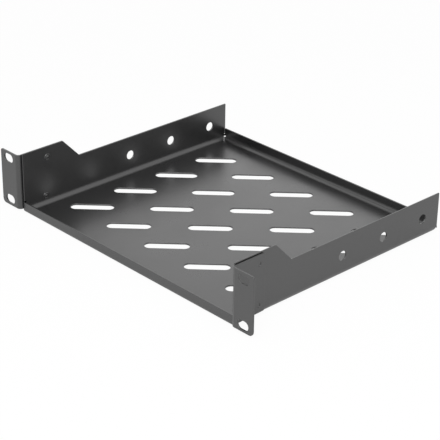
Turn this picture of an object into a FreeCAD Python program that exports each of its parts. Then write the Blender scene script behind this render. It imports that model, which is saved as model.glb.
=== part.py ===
import FreeCAD, Part
import math
import os

# Half-width one-unit cantilever rack shelf, in millimetres.
#
# A folded sheet-steel tray hangs from two folded ear brackets that are
# projection-welded to the outside of its walls.
#
# Frame: the origin is the centre of the four mounting slots, on the rear
# (seating) face of the ears.  +X is to the right seen from the front, +Y goes
# back into the rack and +Z is up.

Vec = FreeCAD.Vector

# ---- rack interface -------------------------------------------------------
panel_width = 254.0          # over both ears: a 10-inch panel
ear_height = 41.4
slot_side_inset = 8.7375     # ear's outer edge to a slot's centre: 236.525 pitch
slot_end_inset = 4.825       # ear's upper or lower edge to a slot's centre: 31.75 pitch
slot_length = 9.6            # along X, end to end
slot_width = 6.4             # clears an M6 cage-nut screw
ear_low_corner = 3.2         # rounding of the ear's outer corners
ear_top_corner = 1.6

# ---- sheet ----------------------------------------------------------------
sheet = 1.2                  # tray thickness
ear_sheet = 1.2              # bracket thickness
wall_bend = 3.8              # inner radius of the wall and rear-lip bends
front_bend = 1.6             # inner radius of the front-lip bend
ear_bend = 1.9               # inner radius of the ear bend

# ---- tray -----------------------------------------------------------------
ear_reach = 19.7             # tray wall's outer face to the ear's outer edge
tray_front = 1.7             # front face of the tray behind the seating face
tray_depth = 194.6           # front face to rear face
shelf_drop = 22.1            # shelf's upper face below the slot centre
front_lip = 6.8              # lip height above the shelf
rear_lip = 8.5
lip_end_gap = 0.6            # lip end to wall, and the slits at the front corners
mitre_gap = 0.15             # slit between the wall's bend and the rear lip's bend
wall_height = 28.6           # above the shelf, behind the raised front
raised_height = 43.7         # above the shelf, at the front
wall_setback = 0.3           # front face of the lip to the raised wall's front edge
raised_depth = 35.8          # tray front to the top of the slope
slope_run = 14.4             # length of the slope
slope_rounding = 1.6
rear_corner_run = 1.6        # cut-off lower rear corner of each wall
rear_corner_rise = 5.6
rear_corner_rounding = 1.5
relief_bore = 2.2            # half-open hole at each end of the rear lip
relief_inset = 0.3           # its centre, in from the lip end
relief_drop = 1.2            # its centre, below the top of the bend

# ---- openings in the tray -------------------------------------------------
vent_columns = 5
vent_rows = 4
vent_front_margin = 40.2     # tray front to the first row's centres
vent_rear_margin = 34.4      # last row's centres to the tray's rear face
vent_side_margin = 27.3      # wall's outer face to the outer column's centres
vent_length = 31.0           # end to end
vent_width = 8.0
vent_angle = 45.0            # from +X towards +Y
side_hole_count = 3
side_hole_pitch = 40.0
side_hole_rear_margin = 16.6  # last hole to the tray's rear face
side_hole_height = 14.1      # above the shelf
side_hole_bore = 6.8

# ---- ear bracket flange ---------------------------------------------------
flange_depth = 26.8          # seating face to the flange's rear edge
flange_top_corner = 1.5
flange_low_corner = 1.0
flange_low_rise = 0.7        # the lower edge climbs this much towards the rear
weld_gap = 0.25              # flange to wall, held by the weld projections
weld_depth = 21.5            # seating face to the projections
weld_spread = 29.0           # lower to upper projection
weld_bump_dia = 4.0          # where a projection meets the wall
weld_dimple_dia = 3.0        # pressed into the flange's outer face
weld_dimple_depth = 0.35

# ---- worked out from the values above ------------------------------------
slot_pitch_x = panel_width - 2 * slot_side_inset
slot_pitch_z = ear_height - 2 * slot_end_inset
tray_width = panel_width - 2 * ear_reach
shelf_top = -shelf_drop
shelf_under = shelf_top - sheet
wall_outer = tray_width / 2
wall_inner = wall_outer - sheet
tray_rear = tray_front + tray_depth
vent_pitch_x = (tray_width - 2 * vent_side_margin) / (vent_columns - 1)
vent_pitch_y = (tray_depth - vent_front_margin - vent_rear_margin) / (vent_rows - 1)
wall_bend_outer = wall_bend + sheet
front_bend_outer = front_bend + sheet
flange_inner = wall_outer + weld_gap
flange_outer = flange_inner + ear_sheet
ear_bend_outer = ear_bend + ear_sheet


def face_of(points_and_arcs):
    """Close a wire from edges in order and make its face."""
    return Part.Face(Part.Wire(points_and_arcs))


def rounded_outline(corners):
    """Closed planar wire through (point, radius) corners, rounded by tangent arcs."""
    count = len(corners)
    starts = []
    ends = []
    middles = []
    for index in range(count):
        here, radius = corners[index]
        to_last = (corners[index - 1][0] - here).normalize()
        to_next = (corners[(index + 1) % count][0] - here).normalize()
        half_angle = to_last.getAngle(to_next) / 2
        setback = radius / math.tan(half_angle)
        starts.append(here + to_last * setback)
        ends.append(here + to_next * setback)
        inward = (to_last + to_next).normalize()
        middles.append(here + inward * (radius / math.sin(half_angle) - radius))
    edges = []
    for index in range(count):
        if corners[index][1] > 0:
            edges.append(Part.Arc(starts[index], middles[index], ends[index]).toShape())
        following = (index + 1) % count
        edges.append(Part.LineSegment(ends[index], starts[following]).toShape())
    return face_of(edges)


def bend_strip(centre, inner, thickness, first, second, length_axis):
    """Quarter-ring bend: arcs about centre from direction first to second."""
    outer = inner + thickness
    between = (first + second).normalize()
    edges = [
        Part.LineSegment(centre + first * inner, centre + first * outer).toShape(),
        Part.Arc(centre + first * outer, centre + between * outer, centre + second * outer).toShape(),
        Part.LineSegment(centre + second * outer, centre + second * inner).toShape(),
        Part.Arc(centre + second * inner, centre + between * inner, centre + first * inner).toShape(),
    ]
    return face_of(edges).extrude(length_axis)


def mirrored(shape):
    """The same piece on the other side of the mid-plane X = 0."""
    return shape.mirror(Vec(0, 0, 0), Vec(1, 0, 0))


def slot_cutter(length, width, depth):
    """Round-ended slot about the origin, long axis +X, cut axis +Z."""
    half_run = (length - width) / 2
    radius = width / 2
    edges = [
        Part.LineSegment(Vec(-half_run, -radius, 0), Vec(half_run, -radius, 0)).toShape(),
        Part.Arc(Vec(half_run, -radius, 0), Vec(half_run + radius, 0, 0), Vec(half_run, radius, 0)).toShape(),
        Part.LineSegment(Vec(half_run, radius, 0), Vec(-half_run, radius, 0)).toShape(),
        Part.Arc(Vec(-half_run, radius, 0), Vec(-half_run - radius, 0, 0), Vec(-half_run, -radius, 0)).toShape(),
    ]
    cutter = face_of(edges).extrude(Vec(0, 0, depth))
    cutter.translate(Vec(0, 0, -depth / 2))
    return cutter


def shelf_plate():
    """Flat floor of the tray, between the four bends."""
    half = wall_outer - wall_bend_outer
    front = tray_front + front_bend_outer
    rear = tray_rear - wall_bend_outer
    return Part.makeBox(2 * half, rear - front, sheet, Vec(-half, front, shelf_under))


def rear_mitre(side):
    """Cutter at the right rear corner: clears one side of the diagonal between two bends.

    side is +1 to trim the rear bend and -1 to trim the wall's bend.
    """
    corner = Vec(wall_outer - wall_bend_outer, tray_rear - wall_bend_outer, shelf_under)
    reach = 2 * wall_bend_outer
    along = Vec(1, 1, 0).normalize()
    across = Vec(1, -1, 0).normalize() * side
    start = corner - along * sheet - across * (mitre_gap / 2)
    points = [start, start + along * reach, start + along * reach + across * reach, start + across * reach]
    edges = [Part.LineSegment(points[i], points[(i + 1) % 4]).toShape() for i in range(4)]
    return face_of(edges).extrude(Vec(0, 0, wall_bend_outer))


def side_wall():
    """Right-hand wall with its bend, in the outline cut before folding."""
    bottom = shelf_under
    low_top = shelf_top + wall_height
    high_top = shelf_top + raised_height
    front_notch = shelf_top + front_lip + lip_end_gap
    behind_lip = tray_front + sheet + lip_end_gap
    bend_front = tray_front + front_bend_outer + lip_end_gap
    wall_front = tray_front + wall_setback
    slope_top = tray_front + raised_depth
    outline = rounded_outline([
        (Vec(wall_inner, bend_front, bottom), 0),
        (Vec(wall_inner, tray_rear - rear_corner_run, bottom), rear_corner_rounding),
        (Vec(wall_inner, tray_rear, bottom + rear_corner_rise), rear_corner_rounding),
        (Vec(wall_inner, tray_rear, low_top), 0),
        (Vec(wall_inner, slope_top + slope_run, low_top), slope_rounding),
        (Vec(wall_inner, slope_top, high_top), slope_rounding),
        (Vec(wall_inner, wall_front, high_top), 0),
        (Vec(wall_inner, wall_front, front_notch), 0),
        (Vec(wall_inner, behind_lip, front_notch), 0),
        (Vec(wall_inner, behind_lip, shelf_top + wall_bend), 0),
        (Vec(wall_inner, bend_front, shelf_top + wall_bend), 0),
    ])
    blank = outline.extrude(Vec(sheet, 0, 0))
    bend_blank = outline.extrude(Vec(-wall_bend, 0, 0)).fuse(blank)
    bend_centre = Vec(wall_outer - wall_bend_outer, bend_front, shelf_top + wall_bend)
    bend = bend_strip(bend_centre, wall_bend, sheet, Vec(1, 0, 0), Vec(0, 0, -1), Vec(0, tray_depth, 0))
    bend = bend.common(bend_blank).cut(rear_mitre(-1))
    flat_base = Part.makeBox(
        sheet, tray_depth, high_top - bend_centre.z,
        Vec(wall_inner, tray_front, bend_centre.z))
    wall = blank.common(flat_base).fuse(bend)
    for index in range(side_hole_count):
        along = tray_rear - side_hole_rear_margin - index * side_hole_pitch
        hole_start = Vec(wall_inner - sheet, along, shelf_top + side_hole_height)
        wall = wall.cut(Part.makeCylinder(side_hole_bore / 2, 3 * sheet, hole_start, Vec(1, 0, 0)))
    return wall


def front_lip_strip():
    """Upturned front lip, running across the front of both walls."""
    centre = Vec(-wall_outer, tray_front + front_bend_outer, shelf_top + front_bend)
    bend = bend_strip(
        centre, front_bend, sheet,
        Vec(0, -1, 0), Vec(0, 0, -1), Vec(2 * wall_outer, 0, 0))
    upright = Part.makeBox(
        2 * wall_outer, sheet, front_lip - front_bend,
        Vec(-wall_outer, tray_front, centre.z))
    return bend.fuse(upright)


def rear_lip_strip():
    """Upturned rear lip, ending just short of both walls."""
    half = wall_inner - lip_end_gap
    centre = Vec(-half, tray_rear - wall_bend_outer, shelf_top + wall_bend)
    bend = bend_strip(
        centre, wall_bend, sheet,
        Vec(0, 1, 0), Vec(0, 0, -1), Vec(2 * half, 0, 0))
    trim = rear_mitre(1)
    relief_start = Vec(half - relief_inset, tray_rear - 2 * sheet, centre.z - relief_drop)
    relief = Part.makeCylinder(relief_bore / 2, 3 * sheet, relief_start, Vec(0, 1, 0))
    upright = Part.makeBox(
        2 * half, sheet, rear_lip - wall_bend,
        Vec(-half, tray_rear - sheet, centre.z))
    return bend.fuse(upright).cut([trim, mirrored(trim), relief, mirrored(relief)])


def make_tray():
    """One folded sheet: floor, two walls with raised fronts, two lips."""
    wall = side_wall()
    tray = shelf_plate().fuse([wall, mirrored(wall), front_lip_strip(), rear_lip_strip()])
    cutter = slot_cutter(vent_length, vent_width, 3 * sheet)
    cutter.rotate(Vec(0, 0, 0), Vec(0, 0, 1), vent_angle)
    vents = []
    for column in range(vent_columns):
        for row in range(vent_rows):
            place_x = (column - (vent_columns - 1) / 2) * vent_pitch_x
            place_y = tray_front + vent_front_margin + row * vent_pitch_y
            vent = cutter.copy()
            vent.translate(Vec(place_x, place_y, shelf_top - sheet / 2))
            vents.append(vent)
    return tray.cut(vents).removeSplitter()


def make_ear_bracket():
    """Right-hand bracket: slotted ear, bend, and the flange welded to the wall."""
    half_height = ear_height / 2
    bend_x = flange_inner + ear_bend_outer
    ear_edge = panel_width / 2
    ear = rounded_outline([
        (Vec(bend_x, -ear_sheet, -half_height), 0),
        (Vec(ear_edge, -ear_sheet, -half_height), ear_low_corner),
        (Vec(ear_edge, -ear_sheet, half_height), ear_top_corner),
        (Vec(bend_x, -ear_sheet, half_height), 0),
    ]).extrude(Vec(0, ear_sheet, 0))
    for level in (-1, 1):
        slot = slot_cutter(slot_length, slot_width, 3 * ear_sheet)
        slot.rotate(Vec(0, 0, 0), Vec(1, 0, 0), 90)
        slot.translate(Vec(slot_pitch_x / 2, -ear_sheet / 2, level * slot_pitch_z / 2))
        ear = ear.cut(slot)
    bend = bend_strip(
        Vec(bend_x, ear_bend, -half_height), ear_bend, ear_sheet,
        Vec(0, -1, 0), Vec(-1, 0, 0), Vec(0, 0, ear_height))
    flange = rounded_outline([
        (Vec(flange_inner, ear_bend, -half_height), 0),
        (Vec(flange_inner, flange_depth, flange_low_rise - half_height), flange_low_corner),
        (Vec(flange_inner, flange_depth, half_height), flange_top_corner),
        (Vec(flange_inner, ear_bend, half_height), 0),
    ]).extrude(Vec(ear_sheet, 0, 0))
    bracket = ear.fuse([bend, flange])
    for level in (-1, 1):
        spot = Vec(wall_outer, weld_depth, level * weld_spread / 2)
        bump = Part.makeCylinder(weld_bump_dia / 2, weld_gap + ear_sheet / 2, spot, Vec(1, 0, 0))
        bracket = bracket.fuse(bump)
        dimple_start = Vec(flange_outer - weld_dimple_depth, spot.y, spot.z)
        dimple = Part.makeCylinder(weld_dimple_dia / 2, 2 * weld_dimple_depth, dimple_start, Vec(1, 0, 0))
        bracket = bracket.cut(dimple)
    return bracket.removeSplitter()


def main():
    os.makedirs("parts", exist_ok=True)
    tray = make_tray()
    right = make_ear_bracket()
    left = mirrored(right)
    nodes = {"tray": tray, "right_ear_bracket": right, "left_ear_bracket": left}
    for name, shape in nodes.items():
        shape.exportStep("parts/" + name + ".step")
        print(name, "solids", len(shape.Solids), "valid", shape.isValid(), "volume", round(shape.Volume, 1))


main()
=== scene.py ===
"""Looks for a folded, powder-coated cantilever rack shelf, laid out as an add-on.

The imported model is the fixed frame.  Each folded sheet gets a coated copy with
softly rounded cut edges, the spot welds get their marks on the inner walls, and
a pale studio with two large soft lamps stands around the part.
"""

from math import cos, pi, radians, sin

import bmesh
import bpy
from bpy.props import FloatProperty, FloatVectorProperty, IntProperty, PointerProperty
from bpy.types import Operator, Panel, PropertyGroup
from mathutils import Matrix, Vector


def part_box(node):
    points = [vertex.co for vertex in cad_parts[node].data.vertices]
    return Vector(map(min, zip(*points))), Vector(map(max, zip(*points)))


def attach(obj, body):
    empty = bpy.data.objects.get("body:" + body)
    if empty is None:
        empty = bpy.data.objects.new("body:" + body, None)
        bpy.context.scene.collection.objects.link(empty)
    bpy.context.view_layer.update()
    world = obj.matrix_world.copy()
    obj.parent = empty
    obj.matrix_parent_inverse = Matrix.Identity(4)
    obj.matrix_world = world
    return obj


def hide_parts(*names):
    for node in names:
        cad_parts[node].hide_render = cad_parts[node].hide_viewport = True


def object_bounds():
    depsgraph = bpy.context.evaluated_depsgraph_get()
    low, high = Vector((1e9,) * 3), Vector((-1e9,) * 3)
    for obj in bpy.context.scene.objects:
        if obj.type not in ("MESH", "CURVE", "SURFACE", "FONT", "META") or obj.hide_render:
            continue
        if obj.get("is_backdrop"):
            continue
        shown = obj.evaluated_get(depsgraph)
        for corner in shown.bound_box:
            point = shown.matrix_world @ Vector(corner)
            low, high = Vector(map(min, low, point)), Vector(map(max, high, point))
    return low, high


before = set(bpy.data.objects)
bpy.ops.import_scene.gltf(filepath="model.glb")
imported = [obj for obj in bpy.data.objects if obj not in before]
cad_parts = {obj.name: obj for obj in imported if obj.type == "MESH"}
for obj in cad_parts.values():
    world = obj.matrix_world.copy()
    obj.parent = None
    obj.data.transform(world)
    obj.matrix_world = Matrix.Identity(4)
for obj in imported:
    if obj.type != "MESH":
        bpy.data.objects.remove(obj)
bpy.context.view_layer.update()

bl_info = {
    "name": "Cantilever Rack Shelf",
    "version": (1, 0, 0),
    "blender": (4, 5, 0),
    "location": "3D View > Sidebar > Rack Shelf",
    "description": "Coated sheet pieces, weld marks and a pale studio for a folded rack shelf",
    "category": "Object",
}

BODY = "root"
COAT = "black_powder_coat"
WHITE = (1.0, 1.0, 1.0, 1.0)
FLOOR_COLOUR = (0.9, 0.9, 0.9, 1.0)

MERGE_DISTANCE = 0.00006       # joins the loose triangles of a CAD node
FLAT_ANGLE = radians(0.6)      # faces nearer to flat than this are one face
CUT_EDGE_ANGLE = radians(40)   # edges sharper than this are cut edges of the sheet
FLAT_FACE_WEIGHT = 100         # how firmly a large face keeps its own shading

CLOUD_SIZE = 0.035             # distance between the broad clouds of uneven gloss
SPECKLE_SHARE = 0.8            # speckle size as a share of the grain size
SPECKLE_DARK, SPECKLE_LIGHT = 0.8, 1.25
UNEVEN_GLOSS = 0.03            # how far roughness strays either way
RIPPLE_STRENGTH, RIPPLE_SHARE = 0.35, 1.5   # bump of the ripples, and their height in grain heights
GRAIN_STRENGTH = 0.5
NOISE_LOW, NOISE_HIGH = 0.3, 0.7            # where nearly all values of a noise lie

WELD_SPOKES = 32
WELD_PROFILE = (               # share of the mark's radius, share of its height
    (0.12, 1.0), (0.26, 0.9), (0.38, 0.55), (0.52, 0.1),
    (0.66, 0.12), (0.78, 0.5), (0.88, 0.5), (1.0, -0.1), (1.0, -0.6))

SENSOR_WIDTH = 36.0            # millimetres
NEAREST_SEEN, FARTHEST_SEEN = 0.01, 100.0
SOFT_LAMPS = (                 # name, turn from the back to the right, rise, distance, width, height
    ("rear", radians(318), radians(13), 2.0, 3.4, 0.95),
    ("front", radians(132), radians(50), 1.2, 1.0, 1.0))

tray_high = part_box("tray")[1]


class CoatSettings(PropertyGroup):
    """The black powder coat."""

    colour: FloatVectorProperty(
        name="Colour", description="Body colour of the coat",
        subtype="COLOR", size=3, min=0.0, max=1.0, default=(0.005, 0.005, 0.0052))
    roughness: FloatProperty(
        name="Roughness", description="Middle value of the coat's roughness",
        subtype="FACTOR", min=0.05, max=1.0, default=0.32)
    refraction: FloatProperty(
        name="Refraction",
        description="Index of refraction of the resin, which sets how strongly it mirrors",
        min=1.3, max=2.4, default=1.94)
    grain_size: FloatProperty(
        name="Grain size", description="Distance between the fine grains of the coat",
        subtype="DISTANCE", unit="LENGTH", min=0.0001, max=0.01, default=0.0007)
    ripple_size: FloatProperty(
        name="Ripple size",
        description="Distance between the soft ripples that the melted powder leaves",
        subtype="DISTANCE", unit="LENGTH", min=0.001, max=0.05, default=0.0042)
    grain_depth: FloatProperty(
        name="Grain depth", description="Height of the grains",
        subtype="DISTANCE", unit="LENGTH", min=0.0, max=0.001, default=0.00002)


class SheetSettings(PropertyGroup):
    """How the folded sheets are finished."""

    tray_rounding: FloatProperty(
        name="Tray edges", description="Width of the tray's rounded cut edges under the coat",
        subtype="DISTANCE", unit="LENGTH", min=0.00002, max=0.0005, default=0.00032)
    bracket_rounding: FloatProperty(
        name="Bracket edges", description="Width of the brackets' rounded cut edges under the coat",
        subtype="DISTANCE", unit="LENGTH", min=0.00002, max=0.0005, default=0.00016)
    edge_steps: IntProperty(
        name="Edge steps", description="Faces across each rounded edge", min=1, max=5, default=3)


class WeldSettings(PropertyGroup):
    """Marks that the spot welds leave on the inner faces of the walls."""

    upper_depth: FloatProperty(
        name="Upper set-back", description="Seating face of the ears to the upper marks",
        subtype="DISTANCE", unit="LENGTH", default=0.0234)
    upper_height: FloatProperty(
        name="Upper height", description="Middle of the ears up to the upper marks",
        subtype="DISTANCE", unit="LENGTH", default=0.0134)
    lower_depth: FloatProperty(
        name="Lower set-back", description="Seating face of the ears to the lower marks",
        subtype="DISTANCE", unit="LENGTH", default=0.0210)
    lower_height: FloatProperty(
        name="Lower height", description="Middle of the ears to the lower marks, negative below it",
        subtype="DISTANCE", unit="LENGTH", default=-0.0160)
    diameter: FloatProperty(
        name="Diameter", description="Width of each mark",
        subtype="DISTANCE", unit="LENGTH", min=0.001, max=0.01, default=0.0050)
    height: FloatProperty(
        name="Height", description="How far each mark stands out of the wall",
        subtype="DISTANCE", unit="LENGTH", min=0.00005, max=0.001, default=0.0006)
    wall_thickness: FloatProperty(
        name="Sheet", description="Thickness of the tray's sheet",
        subtype="DISTANCE", unit="LENGTH", default=0.0012)


class StudioSettings(PropertyGroup):
    """Floor, lamps and surroundings."""

    floor_width: FloatProperty(
        name="Floor width", description="Side of the square floor",
        subtype="DISTANCE", unit="LENGTH", default=60.0)
    floor_gap: FloatProperty(
        name="Floor gap", description="Floor below the part's lowest face",
        subtype="DISTANCE", unit="LENGTH", min=0.0, default=0.0002)
    shadow_share: FloatProperty(
        name="Shadow", description="How much of the part's soft shadow the floor keeps",
        subtype="FACTOR", min=0.0, max=1.0, default=0.05)
    mirrored_share: FloatProperty(
        name="Mirrored shadow", description="How much of that shadow the floor keeps in reflections",
        subtype="FACTOR", min=0.0, max=1.0, default=0.7)
    surroundings: FloatProperty(
        name="Surroundings", description="Strength of the pale surroundings", min=0.0, default=0.5)
    rear_brightness: FloatProperty(
        name="Rear lamp", description="Brightness of the lamp behind the part, where 1 is white",
        min=0.0, default=0.6)
    front_brightness: FloatProperty(
        name="Front lamp", description="Brightness of the lamp beside the camera, where 1 is white",
        min=0.0, default=3.4)


class CameraSettings(PropertyGroup):
    """Where the camera stands."""

    azimuth: FloatProperty(
        name="Azimuth", description="Turn of the camera round the part, from the front towards the right",
        subtype="ANGLE", unit="ROTATION", default=radians(46.43))
    elevation: FloatProperty(
        name="Elevation", description="Camera above the horizon",
        subtype="ANGLE", unit="ROTATION", default=radians(26.66))
    roll: FloatProperty(
        name="Roll", description="Turn of the camera about its own axis",
        subtype="ANGLE", unit="ROTATION", default=radians(0.81))
    distance: FloatProperty(
        name="Distance", description="Camera to the point it looks at",
        subtype="DISTANCE", unit="LENGTH", default=1.0901)
    target: FloatVectorProperty(
        name="Target", description="Point that the camera looks at",
        subtype="XYZ", unit="LENGTH", size=3, default=(-0.00459, 0.09538, -0.02236))
    lens: FloatProperty(
        name="Lens", description="Focal length on a 36 mm wide sensor", subtype="DISTANCE_CAMERA",
        unit="CAMERA", default=127.36)


# ---- materials --------------------------------------------------------------

def new_material(name):
    """An empty node material with its output node."""
    material = bpy.data.materials.new(name)
    material.use_nodes = True
    nodes = material.node_tree.nodes
    nodes.clear()
    output = nodes.new("ShaderNodeOutputMaterial")
    return material, nodes, material.node_tree.links, output


def add_noise(nodes, links, place, size, detail, roughness=0.5):
    """Noise whose features are about size metres apart, in object space."""
    noise = nodes.new("ShaderNodeTexNoise")
    noise.inputs["Scale"].default_value = 1.0 / size
    noise.inputs["Detail"].default_value = detail
    noise.inputs["Roughness"].default_value = roughness
    links.new(place, noise.inputs["Vector"])
    return noise.outputs["Fac"]


def spread(nodes, links, value, low, high):
    """Stretch the middle of a noise value over low to high."""
    stretch = nodes.new("ShaderNodeMapRange")
    stretch.inputs["From Min"].default_value = NOISE_LOW
    stretch.inputs["From Max"].default_value = NOISE_HIGH
    stretch.inputs["To Min"].default_value = low
    stretch.inputs["To Max"].default_value = high
    links.new(value, stretch.inputs["Value"])
    return stretch.outputs["Result"]


def bump(nodes, links, height, strength, distance):
    """A bump node over a height value."""
    node = nodes.new("ShaderNodeBump")
    node.inputs["Strength"].default_value = strength
    node.inputs["Distance"].default_value = distance
    links.new(height, node.inputs["Height"])
    return node


def glow(nodes, kind, strength):
    """A white emission or background shader."""
    node = nodes.new(kind)
    node.inputs["Color"].default_value = WHITE
    node.inputs["Strength"].default_value = strength
    return node.outputs[0]


def larger(nodes, links, first, second):
    """The larger of two values."""
    node = nodes.new("ShaderNodeMath")
    node.operation = "MAXIMUM"
    links.new(first, node.inputs[0])
    links.new(second, node.inputs[1])
    return node.outputs["Value"]


def mixed(nodes, links, share, first, second):
    """Two shaders mixed; share is a number or a value, and 1 is all of the second."""
    node = nodes.new("ShaderNodeMixShader")
    if isinstance(share, float):
        node.inputs["Fac"].default_value = share
    else:
        links.new(share, node.inputs["Fac"])
    links.new(first, node.inputs[1])
    links.new(second, node.inputs[2])
    return node.outputs["Shader"]


def mirror_rays(nodes, links, ray):
    """1 for rays that come from a mirroring or clear surface."""
    return larger(nodes, links, ray.outputs["Is Glossy Ray"], ray.outputs["Is Transmission Ray"])


def powder_coat(settings):
    """Semi-gloss black powder coat: fine grain on soft ripples, slightly uneven gloss."""
    material, nodes, links, output = new_material(COAT)
    place = nodes.new("ShaderNodeTexCoord").outputs["Object"]
    surface = nodes.new("ShaderNodeBsdfPrincipled")
    surface.inputs["IOR"].default_value = settings.refraction
    links.new(surface.outputs["BSDF"], output.inputs["Surface"])

    cloud = add_noise(nodes, links, place, CLOUD_SIZE, 3.0)
    speckle = add_noise(nodes, links, place, settings.grain_size * SPECKLE_SHARE, 2.0)
    tone = nodes.new("ShaderNodeMix")
    tone.data_type = "RGBA"
    for end, share in (("A", SPECKLE_DARK), ("B", SPECKLE_LIGHT)):
        tone.inputs[end].default_value = (*(channel * share for channel in settings.colour), 1.0)
    links.new(spread(nodes, links, speckle, 0.0, 1.0), tone.inputs["Factor"])
    links.new(tone.outputs["Result"], surface.inputs["Base Color"])

    uneven = nodes.new("ShaderNodeMath")
    uneven.operation = "ADD"
    clouded = spread(
        nodes, links, cloud, settings.roughness - UNEVEN_GLOSS, settings.roughness + UNEVEN_GLOSS)
    links.new(clouded, uneven.inputs[0])
    links.new(spread(nodes, links, speckle, -UNEVEN_GLOSS, UNEVEN_GLOSS), uneven.inputs[1])
    links.new(uneven.outputs["Value"], surface.inputs["Roughness"])

    ripple = add_noise(nodes, links, place, settings.ripple_size, 1.0)
    grain = add_noise(nodes, links, place, settings.grain_size, 2.0)
    soft = bump(nodes, links, ripple, RIPPLE_STRENGTH, settings.grain_depth * RIPPLE_SHARE)
    fine = bump(nodes, links, grain, GRAIN_STRENGTH, settings.grain_depth)
    links.new(soft.outputs["Normal"], fine.inputs["Normal"])
    links.new(fine.outputs["Normal"], surface.inputs["Normal"])
    return material


def coat_material():
    """The one coat that all pieces share, made when first asked for."""
    return bpy.data.materials.get(COAT) or powder_coat(bpy.context.scene.rackshelf_coat)


def floor_material(shadow_share, mirrored_share):
    """Pale floor: white to the camera and in reflections, each with a share of the soft shadow."""
    material, nodes, links, output = new_material("pale_floor")
    ray = nodes.new("ShaderNodeLightPath")
    white = glow(nodes, "ShaderNodeEmission", 1.0)
    diffuse = nodes.new("ShaderNodeBsdfDiffuse")
    diffuse.inputs["Color"].default_value = FLOOR_COLOUR
    matt = diffuse.outputs["BSDF"]

    seen = mixed(nodes, links, shadow_share, white, matt)
    reflected = mixed(nodes, links, mirrored_share, white, matt)
    unseen = mixed(nodes, links, mirror_rays(nodes, links, ray), matt, reflected)
    links.new(mixed(nodes, links, ray.outputs["Is Camera Ray"], unseen, seen), output.inputs["Surface"])
    return material


# ---- pieces -----------------------------------------------------------------

def finish_piece(mesh, name):
    """Link a finished mesh, coat it and let it ride on the part."""
    piece = bpy.data.objects.new(name, mesh)
    bpy.context.scene.collection.objects.link(piece)
    mesh.materials.clear()
    mesh.materials.append(coat_material())
    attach(piece, BODY)
    return piece


def coated_copy(node, name, rounding, steps):
    """A copy of one folded sheet with its cut edges rounded; it stands for the CAD node."""
    low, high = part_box(node)
    form = bmesh.new()
    form.from_mesh(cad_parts[node].data)
    bmesh.ops.remove_doubles(form, verts=form.verts, dist=MERGE_DISTANCE)
    bmesh.ops.dissolve_degenerate(form, dist=MERGE_DISTANCE, edges=form.edges)
    bmesh.ops.dissolve_limit(form, angle_limit=FLAT_ANGLE, verts=form.verts, edges=form.edges)
    cut_edges = [edge for edge in form.edges if edge.calc_face_angle(0.0) > CUT_EDGE_ANGLE]
    bmesh.ops.bevel(
        form, geom=cut_edges, offset=rounding, offset_type="OFFSET",
        segments=steps, profile=0.5, affect="EDGES", clamp_overlap=False, material=-1)
    for vert in form.verts:
        vert.co = [min(max(value, least), most) for value, least, most in zip(vert.co, low, high)]
    for face in form.faces:
        face.smooth = True
    mesh = bpy.data.meshes.new(name)
    form.to_mesh(mesh)
    form.free()
    piece = finish_piece(mesh, name)
    shading = piece.modifiers.new("flat faces stay flat", "WEIGHTED_NORMAL")
    shading.mode = "FACE_AREA"
    shading.weight = FLAT_FACE_WEIGHT
    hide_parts(node)
    return piece


def weld_mark(name, side, depth, height, settings):
    """A small button in a low ring on a wall's inner face, where a weld shows through."""
    radius = settings.diameter / 2
    wall_face = tray_high.x - settings.wall_thickness
    form = bmesh.new()
    rings = []
    for out, rise in WELD_PROFILE:
        x = side * (wall_face - rise * settings.height)
        rings.append([
            form.verts.new((
                x, depth + out * radius * cos(2 * pi * spoke / WELD_SPOKES),
                height + out * radius * sin(2 * pi * spoke / WELD_SPOKES)))
            for spoke in range(WELD_SPOKES)])
    for inner, outer in zip(rings, rings[1:]):
        for spoke in range(WELD_SPOKES):
            after = (spoke + 1) % WELD_SPOKES
            form.faces.new((inner[spoke], inner[after], outer[after], outer[spoke]))
    form.faces.new(rings[0])
    form.faces.new(rings[-1])
    bmesh.ops.recalc_face_normals(form, faces=form.faces)
    for face in form.faces:
        face.smooth = len(face.verts) == 4
    mesh = bpy.data.meshes.new(name)
    form.to_mesh(mesh)
    form.free()
    return finish_piece(mesh, name)


class RACKSHELF_OT_coat_tray(Operator):
    """Make the coated tray"""

    bl_idname = "rackshelf.coat_tray"
    bl_label = "Coat the Tray"

    def execute(self, context):
        sheet = context.scene.rackshelf_sheet
        coated_copy("tray", "coated_tray", sheet.tray_rounding, sheet.edge_steps)
        return {"FINISHED"}


class RACKSHELF_OT_coat_ear_brackets(Operator):
    """Make both coated ear brackets"""

    bl_idname = "rackshelf.coat_ear_brackets"
    bl_label = "Coat the Ear Brackets"

    def execute(self, context):
        sheet = context.scene.rackshelf_sheet
        for side in ("right", "left"):
            coated_copy(
                f"{side}_ear_bracket", f"coated_{side}_ear", sheet.bracket_rounding, sheet.edge_steps)
        return {"FINISHED"}


class RACKSHELF_OT_weld_marks(Operator):
    """Put the four weld marks on the inner faces of the walls"""

    bl_idname = "rackshelf.weld_marks"
    bl_label = "Add the Weld Marks"

    def execute(self, context):
        settings = context.scene.rackshelf_weld
        for side_name, side in (("right", 1), ("left", -1)):
            for level, depth, height in (
                    ("upper", settings.upper_depth, settings.upper_height),
                    ("lower", settings.lower_depth, settings.lower_height)):
                weld_mark(f"{side_name}_{level}_weld_mark", side, depth, height, settings)
        return {"FINISHED"}


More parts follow.
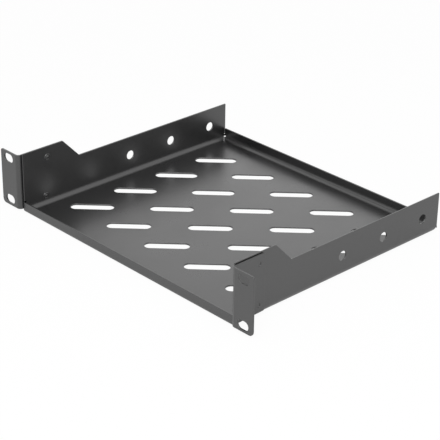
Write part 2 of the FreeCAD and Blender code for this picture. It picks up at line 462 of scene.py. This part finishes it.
class RACKSHELF_OT_build_studio(Operator):
    """Set up the floor, two soft lamps and the pale surroundings"""

    bl_idname = "rackshelf.build_studio"
    bl_label = "Build the Studio"

    def execute(self, context):
        settings = context.scene.rackshelf_studio
        low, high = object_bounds()
        centre = (Vector(low) + Vector(high)) / 2

        form = bmesh.new()
        bmesh.ops.create_grid(form, x_segments=1, y_segments=1, size=settings.floor_width / 2)
        place = (centre.x, centre.y, low[2] - settings.floor_gap)
        bmesh.ops.translate(form, vec=place, verts=form.verts)
        mesh = bpy.data.meshes.new("floor")
        form.to_mesh(mesh)
        form.free()
        floor = bpy.data.objects.new("floor", mesh)
        context.scene.collection.objects.link(floor)
        mesh.materials.append(floor_material(settings.shadow_share, settings.mirrored_share))
        floor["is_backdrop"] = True

        brightness = {"rear": settings.rear_brightness, "front": settings.front_brightness}
        for name, turn, rise, distance, width, height in SOFT_LAMPS:
            lamp = bpy.data.lights.new(name + "_lamp", "AREA")
            lamp.shape = "RECTANGLE"
            lamp.size = width
            lamp.size_y = height
            lamp.energy = brightness[name] * pi * width * height
            lamp_object = bpy.data.objects.new(name + "_lamp", lamp)
            context.scene.collection.objects.link(lamp_object)
            towards = Vector((sin(turn) * cos(rise), cos(turn) * cos(rise), sin(rise)))
            lamp_object.location = centre + towards * distance
            lamp_object.rotation_euler = (-towards).to_track_quat("-Z", "Y").to_euler()
            lamp_object.visible_camera = False

        self.surround(context, settings.surroundings)
        return {"FINISHED"}

    def surround(self, context, strength):
        """White to the camera and in reflections, and soft even light for all else."""
        world = bpy.data.worlds.new("pale_surroundings")
        context.scene.world = world
        world.use_nodes = True
        nodes = world.node_tree.nodes
        links = world.node_tree.links
        nodes.clear()
        output = nodes.new("ShaderNodeOutputWorld")
        ray = nodes.new("ShaderNodeLightPath")
        light = glow(nodes, "ShaderNodeBackground", strength)
        white = glow(nodes, "ShaderNodeBackground", 1.0)
        seen = larger(nodes, links, ray.outputs["Is Camera Ray"], mirror_rays(nodes, links, ray))
        links.new(mixed(nodes, links, seen, light, white), output.inputs["Surface"])
        context.scene.view_settings.view_transform = "Standard"


class RACKSHELF_OT_place_camera(Operator):
    """Stand the camera in front of the right ear, looking down into the tray"""

    bl_idname = "rackshelf.place_camera"
    bl_label = "Place the Camera"

    def execute(self, context):
        settings = context.scene.rackshelf_camera
        turn, rise = settings.azimuth, settings.elevation
        back = Vector((sin(turn) * cos(rise), -cos(turn) * cos(rise), sin(rise)))
        level_right = Vector((cos(turn), sin(turn), 0.0))
        level_up = back.cross(level_right)
        right = cos(settings.roll) * level_right + sin(settings.roll) * level_up
        up = back.cross(right)
        camera = bpy.data.cameras.new("camera")
        camera.sensor_width = SENSOR_WIDTH
        camera.lens = settings.lens
        camera.clip_start = NEAREST_SEEN
        camera.clip_end = FARTHEST_SEEN
        camera_object = bpy.data.objects.new("camera", camera)
        context.scene.collection.objects.link(camera_object)
        place = Matrix((right, up, back)).transposed().to_4x4()
        place.translation = Vector(settings.target) + back * settings.distance
        camera_object.matrix_world = place
        context.scene.camera = camera_object
        return {"FINISHED"}


class RACKSHELF_PT_panel(Panel):
    """Lists the pieces and the stage"""

    bl_label = "Rack Shelf"
    bl_idname = "RACKSHELF_PT_panel"
    bl_space_type = "VIEW_3D"
    bl_region_type = "UI"
    bl_category = "Rack Shelf"

    def draw(self, context):
        scene = context.scene
        for label, settings in (
                ("Coat", scene.rackshelf_coat), ("Sheets", scene.rackshelf_sheet),
                ("Welds", scene.rackshelf_weld), ("Studio", scene.rackshelf_studio),
                ("Camera", scene.rackshelf_camera)):
            box = self.layout.box()
            box.label(text=label)
            for name in settings.bl_rna.properties.keys():
                if name not in {"rna_type", "name"}:
                    box.prop(settings, name)
        for operator in OPERATORS:
            self.layout.operator(operator.bl_idname)


SETTINGS = {
    "rackshelf_coat": CoatSettings,
    "rackshelf_sheet": SheetSettings,
    "rackshelf_weld": WeldSettings,
    "rackshelf_studio": StudioSettings,
    "rackshelf_camera": CameraSettings,
}
OPERATORS = (
    RACKSHELF_OT_coat_tray,
    RACKSHELF_OT_coat_ear_brackets,
    RACKSHELF_OT_weld_marks,
    RACKSHELF_OT_build_studio,
    RACKSHELF_OT_place_camera,
)


def register():
    for name, group in SETTINGS.items():
        bpy.utils.register_class(group)
        setattr(bpy.types.Scene, name, PointerProperty(type=group))
    for operator in OPERATORS:
        bpy.utils.register_class(operator)
    bpy.utils.register_class(RACKSHELF_PT_panel)


def unregister():
    bpy.utils.unregister_class(RACKSHELF_PT_panel)
    for operator in reversed(OPERATORS):
        bpy.utils.unregister_class(operator)
    for name, group in SETTINGS.items():
        delattr(bpy.types.Scene, name)
        bpy.utils.unregister_class(group)


def main():
    register()
    bpy.ops.rackshelf.coat_tray()
    bpy.ops.rackshelf.coat_ear_brackets()
    bpy.ops.rackshelf.weld_marks()
    bpy.ops.rackshelf.build_studio()
    bpy.ops.rackshelf.place_camera()


if __name__ == "__main__":
    main()
